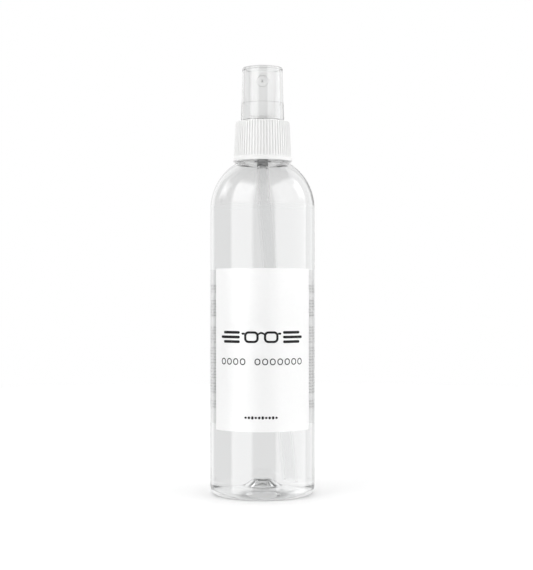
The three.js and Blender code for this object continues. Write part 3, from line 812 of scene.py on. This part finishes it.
collar_mesh = mesh_of("collar", turned(collar_rows, COLLAR_SIDES, collar_warp))
collar = piece("collar", collar_mesh, [white_pp, painted_lighter_white_pp],
               "collar", ["collar"], sharp=50)
for polygon in collar.data.polygons:
    # the skirt is thin enough for daylight to come through to its bore and its lower edge, and
    # these faces take a lighter copy of the white plastic, painted light in the shade inside the
    # collar
    centre = polygon.center / MM
    within = math.hypot(centre.x, centre.y) < COLLAR_BORE + 0.3
    polygon.material_index = 1 if within or centre.z < collar_lo[2] + 0.1 else 0

# ---------------------------------------------------------------- turret, seals and pump

flange_z = housing_hi[2] + 0.1
turret_profile = rounded([
    (1.8, turret_lo[2]), (3.3, turret_lo[2]), (3.3, turret_lo[2] + 1.0),
    (8.6, turret_lo[2] + 1.0), (8.6, flange_z), (turret_hi[0], flange_z),
    (turret_hi[0], flange_z + 0.9), (8.6, flange_z + 0.9), (8.6, turret_hi[2] - 0.75, 0.1),
    (8.85, turret_hi[2] - 0.5, 0.15), (8.6, turret_hi[2] - 0.25, 0.1), (8.45, turret_hi[2], 0.12),
    (7.4, turret_hi[2], 0.2), (7.4, turret_lo[2] + 1.8, 0.3), (3.1, turret_lo[2] + 1.8, 0.1),
    (3.1, turret_lo[2] + 0.6, 0.1), (1.8, turret_lo[2] + 0.6, 0.1),
], radius=0.12, closed=True)
piece("turret_ring", mesh_of("turret_ring", turned(dense(turret_profile, 1.2), 144)), [white_pp],
      "pump", ["turret_ring"])

gasket_profile = rounded([
    (9.5, gasket_lo[2]), (gasket_hi[0], gasket_lo[2]),
    (gasket_hi[0], gasket_hi[2]), (9.5, gasket_hi[2]),
], radius=0.22, closed=True)
piece("neck_gasket", mesh_of("neck_gasket", turned(gasket_profile, 144)), [foam],
      "pump", ["neck_gasket"])

seal_profile = rounded([
    (1.8, seal_lo[2], 0.1), (2.1, seal_lo[2] + 0.25, 0.1), (2.5, seal_lo[2], 0.1),
    (seal_hi[0], seal_lo[2]), (seal_hi[0], seal_hi[2]), (2.3, seal_hi[2]),
    (1.8, seal_hi[2] - 0.2),
], radius=0.12, closed=True)
piece("stem_seal", mesh_of("stem_seal", turned(seal_profile, 96)), [foam],
      "pump", ["stem_seal"])

tip, top = housing_lo[2], housing_hi[2]
housing_profile = rounded([
    (0.6, tip), (SPIGOT_R, tip, 0.25), (SPIGOT_R, tip + 3.8, 0.3), (3.4, tip + 3.8, 0.2),
    (4.4, tip + 4.8, 0.3), (4.4, tip + 14.9, 0.3), (9.4, tip + 14.9, 0.5),
    (9.4, top - 0.9, 0.15), (housing_hi[0], top - 0.9), (housing_hi[0], top),
    (8.8, top, 0.2), (8.8, tip + 15.6, 0.3), (3.4, tip + 15.6, 0.2),
    (3.4, tip + 4.6, 0.2), (0.75, tip + 4.6, 0.1), (0.75, tip + 4.0, 0.05),
    (1.35, tip + 4.0, 0.05), (1.35, tip + 1.9, 0.05), (0.6, tip + 1.15, 0.05),
], radius=0.12, closed=True)
piece("pump_housing", mesh_of("pump_housing", turned(dense(housing_profile, 1.5), 128)), [grey_pp],
      "pump", ["pump_housing"])

ball_r = (ball_hi[2] - ball_lo[2]) / 2
ball_profile = [(ball_r * math.sin(t), ball_lo[2] + ball_r * (1 - math.cos(t)))
                for t in np.linspace(0, math.pi, 33)]
ball_profile[0] = (0, ball_lo[2])
ball_profile[-1] = (0, ball_hi[2])
piece("inlet_ball", mesh_of("inlet_ball", turned(ball_profile, 48)), [steel],
      "ball", ["inlet_ball"])

stem_profile = rounded([
    (0.9, stem_lo[2]), (1.7, stem_lo[2]), (1.7, stem_lo[2] + 2.4), (3.0, stem_lo[2] + 2.4),
    (3.0, stem_lo[2] + 3.1), (1.7, stem_lo[2] + 3.1), (1.7, stem_hi[2] - 0.4, 0.1),
    (1.3, stem_hi[2], 0.08), (0.9, stem_hi[2], 0.08),
], radius=0.12, closed=True)
piece("stem", mesh_of("stem", turned(dense(stem_profile, 1.5), 96)), [natural_pp],
      "button", ["stem"])

foot, head = piston_lo[2], piston_hi[2]
piston_profile = rounded([
    (1.25, foot, 0.08), (1.95, foot, 0.1), (2.15, foot + 0.6, 0.15), (2.9, foot + 0.6, 0.15),
    (3.1, foot, 0.04), (3.3, foot, 0.04), (3.15, (foot + head) / 2, 0.5), (3.3, head, 0.08),
    (1.8, head, 0.08), (1.8, foot + 0.6, 0.08), (1.25, foot + 0.6, 0.08),
], radius=0.1, closed=True)
piece("piston", mesh_of("piston", turned(piston_profile, 96)), [natural_pp],
      "piston", ["piston"])

foot, head = poppet_lo[2], poppet_hi[2]
poppet_profile = rounded([
    (0, foot), (2.0, foot, 0.1), (2.0, foot + 0.15, 0.05), (0.8, foot + 1.35, 0.2),
    (0.8, head, 0.2), (0, head),
])
piece("poppet", mesh_of("poppet", turned(dense(poppet_profile, 1.0), 64)), [natural_pp],
      "button", ["poppet"])


def spring(name, body, radius, wire, turns):
    """A compression spring with closed ends, on its body."""
    lo, hi = span(name)
    low, high = lo[2] + wire, hi[2] - wire
    flat = 0.5 / turns
    points = []
    for t in np.linspace(0, 1, int(turns * 40) + 1):
        climb = float(np.clip((t - flat) / (1 - 2 * flat), 0, 1))
        closed = 1.1 * wire * (min(t, flat) + max(t - 1 + flat, 0)) / flat
        a = TAU * turns * t
        z = low + closed + climb * (high - low - 2.2 * wire)
        points.append((radius * math.cos(a), radius * math.sin(a), z))
    obj = piece(name, mesh_of(name, swept(points, wire, 14)), [steel], body, [name])
    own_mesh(obj)


spring("return_spring", "pump", 3.7, 0.275, 6)
spring("piston_spring", "button", 2.4, 0.18, 2.5)

# ---------------------------------------------------------------- button and spray insert

BUTTON_R = button_hi[0]
NOZZLE_Z = (insert_lo[2] + insert_hi[2]) / 2
STEM_SOCKET_R, STEM_BOSS_R, NOZZLE_BOSS_R, CHANNEL_R, WEB_HALF = 1.8, 3.1, 3.4, 0.6, 0.45
roof = button_hi[2] - 1.9
foot = button_lo[2]
inner = BUTTON_R - 0.95
dish_steps, dish_depth = 13, 0.62
dish = [(BUTTON_R - 1.0 - k * 0.35,
         button_hi[2] - 0.08 - dish_depth * math.sin(k / dish_steps * math.pi / 2), 0)
        for k in range(1, dish_steps + 1)]
shell = rounded([
    (0, roof), (inner, roof, 0.4), (inner, foot, 0.2), (BUTTON_R, foot, 0.2),
    (BUTTON_R, button_hi[2], 0.75), (BUTTON_R - 1.0, button_hi[2] - 0.02, 0.3), *dish,
    (0, button_hi[2] - 0.7),
], steps=6)


def at_nozzle(shape):
    """Lays a shape made about +Z along +Y, at the nozzle's height."""
    return raised(about_y(shape), NOZZLE_Z)


insert_socket = at_nozzle(turned([
    (0, -9), (2.95, -9), (2.95, -BUTTON_R + 0.1), (2.68, -BUTTON_R + 0.4),
    (2.68, insert_hi[1] + 0.05), (0, insert_hi[1] + 0.05)], 72))
# the boss and the webs run a little into the shell, so that the union has no faces in common
weld, half = roof + 0.3, inner + 0.3
web = (-WEB_HALF, WEB_HALF)
button_mesh = cut_and_join(turned(dense(shell, 1.5), 160), [
    ("UNION", plug(STEM_BOSS_R, foot + 2.4, weld)),
    ("UNION", box((-half, half), web, (foot + 3.4, weld))),
    ("UNION", box(web, (-half, half), (foot + 3.4, weld))),
    ("UNION", at_nozzle(plug(NOZZLE_BOSS_R, -half, 0))),
    ("DIFFERENCE", plug(STEM_SOCKET_R, foot + 2.1, stem_hi[2] + 0.1)),
    ("DIFFERENCE", plug(CHANNEL_R, stem_hi[2] - 0.3, NOZZLE_Z + CHANNEL_R, 32)),
    ("DIFFERENCE", insert_socket),
    ("DIFFERENCE", at_nozzle(plug(CHANNEL_R, insert_hi[1] - 0.3, 0, 32))),
])
piece("actuator_button", button_mesh, [button_pp], "button", ["actuator_button"])

front, rear = insert_lo[1], insert_hi[1]
insert_profile = rounded([
    (0.25, front + 0.6, 0.05), (1.25, front, 0.12), (2.6, front, 0.22), (2.6, rear, 0.12),
    (1.6, rear, 0.1), (1.6, rear - 1.1, 0.1), (0.25, rear - 1.1, 0.05),
], closed=True)
piece("spray_insert", mesh_of("spray_insert", at_nozzle(turned(insert_profile, 96))), [button_pp],
      "button", ["spray_insert"])

# ---------------------------------------------------------------- overcap

CAP_FOOT_R, CAP_TOP_R, CAP_WALL, BEAD_R = cap_hi[0], 9.6, 1.3, 8.95


def cap_r(z):
    """Outer radius of the tapered cap at a height."""
    return CAP_FOOT_R + (CAP_TOP_R - CAP_FOOT_R) * (z - cap_lo[2]) / (cap_hi[2] - cap_lo[2])


roof = cap_hi[2] - 1.0
bead_z = cap_lo[2] + 0.25
step_z = cap_lo[2] + 8.7
lower = cap_r(bead_z + 0.3) - 0.9
cap_profile = rounded([
    (0, cap_hi[2]), (CAP_TOP_R, cap_hi[2], 0.6),
    (CAP_FOOT_R, cap_lo[2], 0.2), (lower + 0.05, cap_lo[2], 0.1),
    (BEAD_R, bead_z, 0.12), (lower, bead_z + 0.3, 0.15),
    (cap_r(step_z) - CAP_WALL + 0.08, step_z - 0.1, 0.1), (cap_r(step_z) - CAP_WALL, step_z, 0.1),
    (cap_r(roof) - CAP_WALL, roof, 0.5), (0, roof),
], steps=6)
piece("overcap", mesh_of("overcap", turned(dense(cap_profile, 1.2), CAP_SIDES)), [clear_pp],
      "overcap", ["overcap"])

# ---------------------------------------------------------------- floor, lights and camera

BOX_DISTANCE, LAYER_GAP, KEY_DISTANCE, KEY_SIZE = 0.8, 0.004, 1.2, 0.8
# the world's strength for gloss and glass, straight above them, for matt surfaces, and for matt
# surfaces behind clear plastic
AMBIENT_GLASS, AMBIENT_CEILING, AMBIENT_MATT, AMBIENT_WITHIN = 0.76, 0.1, 1.02, 1.4
CEILING_EDGE = 0.6


def floor(radius=750, depth=4):
    """A pale disc under the bottle, which only the camera and matt surfaces see."""
    mesh = mesh_of("floor", plug(radius, -depth, 0, 96))
    obj = added("floor", mesh)
    pale = material("pale_floor", (0.815, 0.815, 0.815), 0.6, (0.82, 0.82, 0.82), 0.65, grain=40,
                    Emission_Color=(1, 1, 1, 1), Emission_Strength=0.15, Specular_IOR_Level=0.2)
    mesh.materials.append(pale)
    obj.visible_glossy = False
    obj.visible_transmission = False


def lamp(name, azimuth, elevation, distance, width, height, radiance):
    """A rectangular light aimed at the middle of the object. Sizes in metres, angles in degrees,
    azimuth from the front towards +X."""
    data = bpy.data.lights.new(name, "AREA")
    data.shape = "RECTANGLE"
    data.size, data.size_y = width, height
    data.energy = radiance * math.pi * width * height
    light = added(name, data)
    a, e = math.radians(azimuth), math.radians(elevation)
    middle = (cad_lo + cad_hi) / 2
    away = type(middle)((math.sin(a) * math.cos(e), -math.cos(a) * math.cos(e), math.sin(e)))
    light.location = middle + away * distance
    light.rotation_euler = away.to_track_quat("Z", "Y").to_euler()
    light.visible_camera = False
    return light


def soft_box(name, azimuth, elevation, width, height, radiance, fade=0.0, layers=1):
    """A glow that only gloss and glass reflect, in layers that add up towards its middle. Two
    lights in one plane would count as one, so each layer is a little nearer than the last."""
    for k in range(layers):
        size = 1 + fade * (1 - 2 * k / (layers - 1)) if layers > 1 else 1
        light = lamp(f"{name}_{k}", azimuth, elevation, BOX_DISTANCE - LAYER_GAP * k,
                     width * size, height * size, radiance / layers)
        light.visible_diffuse = False
        light.visible_transmission = False


def key_light(name, azimuth, elevation, radiance):
    """A light for the matt surfaces, which leaves no reflection of its own."""
    light = lamp(name, azimuth, elevation, KEY_DISTANCE, KEY_SIZE, KEY_SIZE, radiance)
    light.visible_glossy = False


def studio_world():
    """White behind the object for the camera and a softer white all round for everything else.
    It is stronger where it lights a matt surface, and more so for one behind clear plastic,
    which makes up for the light that the plastic throws back."""
    world = bpy.data.worlds.new("studio")
    scene.world = world
    world.use_nodes = True
    nodes, links = world.node_tree.nodes, world.node_tree.links
    nodes.clear()
    out = nodes.new("ShaderNodeOutputWorld")
    mix = nodes.new("ShaderNodeMixShader")
    seen, around = nodes.new("ShaderNodeBackground"), nodes.new("ShaderNodeBackground")
    seen.inputs["Color"].default_value = (1, 1, 1, 1)
    seen.inputs["Strength"].default_value = 1.0
    around.inputs["Color"].default_value = (1, 1, 1, 1)
    path = nodes.new("ShaderNodeLightPath")
    strength = nodes.new("ShaderNodeMix")
    matt, within = nodes.new("ShaderNodeMath"), nodes.new("ShaderNodeMath")
    for node, source in ((matt, "Diffuse Depth"), (within, "Transmission Depth")):
        node.operation = "MINIMUM"
        node.inputs[1].default_value = 1
        links.new(path.outputs[source], node.inputs[0])
    diffuse = nodes.new("ShaderNodeMapRange")
    diffuse.inputs["To Min"].default_value = AMBIENT_MATT
    diffuse.inputs["To Max"].default_value = AMBIENT_WITHIN
    links.new(within.outputs[0], diffuse.inputs["Value"])
    place, split = nodes.new("ShaderNodeTexCoord"), nodes.new("ShaderNodeSeparateXYZ")
    ceiling = nodes.new("ShaderNodeMapRange")
    ceiling.interpolation_type = "SMOOTHSTEP"
    ceiling.inputs["From Min"].default_value = CEILING_EDGE
    ceiling.inputs["To Min"].default_value = AMBIENT_GLASS
    ceiling.inputs["To Max"].default_value = AMBIENT_CEILING
    links.new(place.outputs["Generated"], split.inputs["Vector"])
    links.new(split.outputs["Z"], ceiling.inputs["Value"])
    links.new(matt.outputs[0], strength.inputs["Factor"])
    links.new(ceiling.outputs["Result"], strength.inputs["A"])
    links.new(diffuse.outputs["Result"], strength.inputs["B"])
    links.new(strength.outputs["Result"], around.inputs["Strength"])
    links.new(path.outputs["Is Camera Ray"], mix.inputs["Fac"])
    links.new(around.outputs["Background"], mix.inputs[1])
    links.new(seen.outputs["Background"], mix.inputs[2])
    links.new(mix.outputs["Shader"], out.inputs["Surface"])


floor()
studio_world()
soft_box("left_box", -46, 8, 0.745, 1.6, 3.0, fade=0.14, layers=4)
soft_box("right_box", 68, 8, 1.34, 1.6, 2.6, fade=0.08, layers=4)
soft_box("right_wing", 122, 8, 0.5, 1.6, 0.9)
soft_box("left_wing", -141, 8, 0.3, 1.6, 0.6)
soft_box("back_box", 180, 8, 1.5, 1.6, 0.2)
soft_box("left_rim", -103, 29, 0.2, 0.2, 4.2, fade=0.8, layers=5)
soft_box("right_rim", 100, 29, 0.2, 0.2, 4.2, fade=0.8, layers=5)
key_light("key", -50, 32, 1.43)
key_light("fill", 55, 32, 0.7)

camera_data = bpy.data.cameras.new("camera")
camera = added("camera", camera_data)
camera_data.sensor_width = 36
camera_data.lens = 82.1
camera_data.shift_y = 0.0123
camera_data.clip_start, camera_data.clip_end = 0.01, 50
camera.location = (0.0019, -0.6226, 0.0964)
camera.rotation_euler = (math.pi / 2, 0, 0)
scene.camera = camera

scene.view_settings.view_transform = "Standard"
scene.view_settings.look = "None"
scene.cycles.max_bounces = 26
scene.cycles.transmission_bounces = 22
scene.cycles.glossy_bounces = 8
scene.cycles.diffuse_bounces = 4
scene.cycles.sample_clamp_indirect = 8
scene.cycles.use_denoising = True
